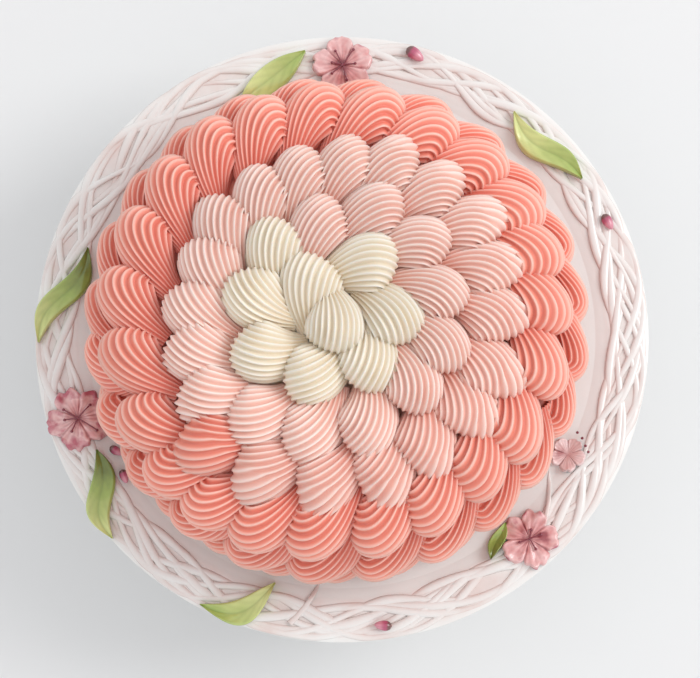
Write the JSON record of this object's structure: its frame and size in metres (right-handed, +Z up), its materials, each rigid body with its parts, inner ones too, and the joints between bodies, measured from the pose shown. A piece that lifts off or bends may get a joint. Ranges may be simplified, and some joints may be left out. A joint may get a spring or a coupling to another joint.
{
  "type": "cake on stand",
  "caption": "Round uncut layer cake covered in rows of piped buttercream shells, on a round footed ceramic stand with a twig, leaf and blossom rim.",
  "frame": {"origin": "centre of the foot's underside, on the table", "axes": "+Z up along the stand's axis, +X to the right and +Y away from the viewer as in the picture"},
  "size_m": [0.3, 0.3, 0.1925],
  "materials": {
    "glazed_white": "glossy off-white glaze, brownish pink wash in the twig recesses",
    "glazed_green": "glossy glaze, green shading to yellow-green",
    "glazed_pink": "glossy glaze, deep pink shading to pale pink",
    "buttercream_ivory": "soft satin buttercream, ivory",
    "buttercream_blush": "soft satin buttercream, blush pink",
    "buttercream_coral": "soft satin buttercream, coral"
  },
  "bodies": {
    "root": {"cake": "buttercream_coral", "shell_centre": "buttercream_ivory", "shells_ivory": "buttercream_ivory", "shells_blush_inner": "buttercream_blush", "shells_blush_outer": "buttercream_blush", "shells_coral_shoulder": "buttercream_coral", "shells_coral_upper_side": "buttercream_coral", "shells_coral_lower_side": "buttercream_coral", "stand": "glazed_white", "leaf_1": "glazed_green", "leaf_2": "glazed_green", "leaf_3": "glazed_green", "leaf_4": "glazed_green", "leaf_5": "glazed_green", "leaf_6": "glazed_green", "blossom_1": "glazed_pink", "blossom_2": "glazed_pink", "blossom_3": "glazed_pink", "blossom_4": "glazed_pink", "bud_1": "glazed_pink", "bud_2": "glazed_pink", "bud_3": "glazed_pink", "bud_4": "glazed_pink", "bud_5": "glazed_pink"}
  },
  "joints": []
}
